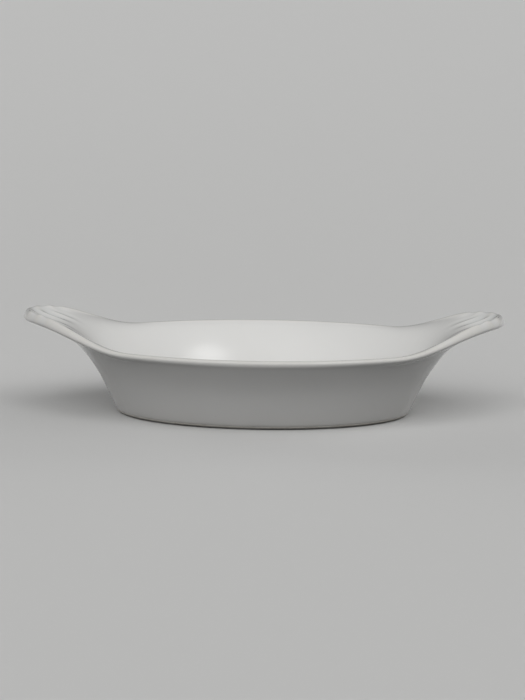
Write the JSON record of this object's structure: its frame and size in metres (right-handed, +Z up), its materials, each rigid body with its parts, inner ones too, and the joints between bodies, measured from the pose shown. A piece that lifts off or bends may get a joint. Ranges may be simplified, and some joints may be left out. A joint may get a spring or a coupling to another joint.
{
  "type": "gratin dish",
  "caption": "Oval white glazed ceramic gratin dish with a flared wall, rounded lip, raised shell-fluted ear handles and a low bare foot ring, for baking and serving.",
  "frame": {"origin": "middle of the standing face, on the surface that the dish stands on", "axes": "+X from the left ear to the right ear along the length, +Y across the dish, +Z up"},
  "size_m": [0.29, 0.1602, 0.0613],
  "materials": {
    "glaze": "smooth white gloss glaze",
    "bare_clay": "unglazed fired clay, fine matt grain"
  },
  "bodies": {
    "root": {"bowl": "glaze", "left_ear": "glaze", "right_ear": "glaze", "foot_ring": "bare_clay"}
  },
  "joints": []
}
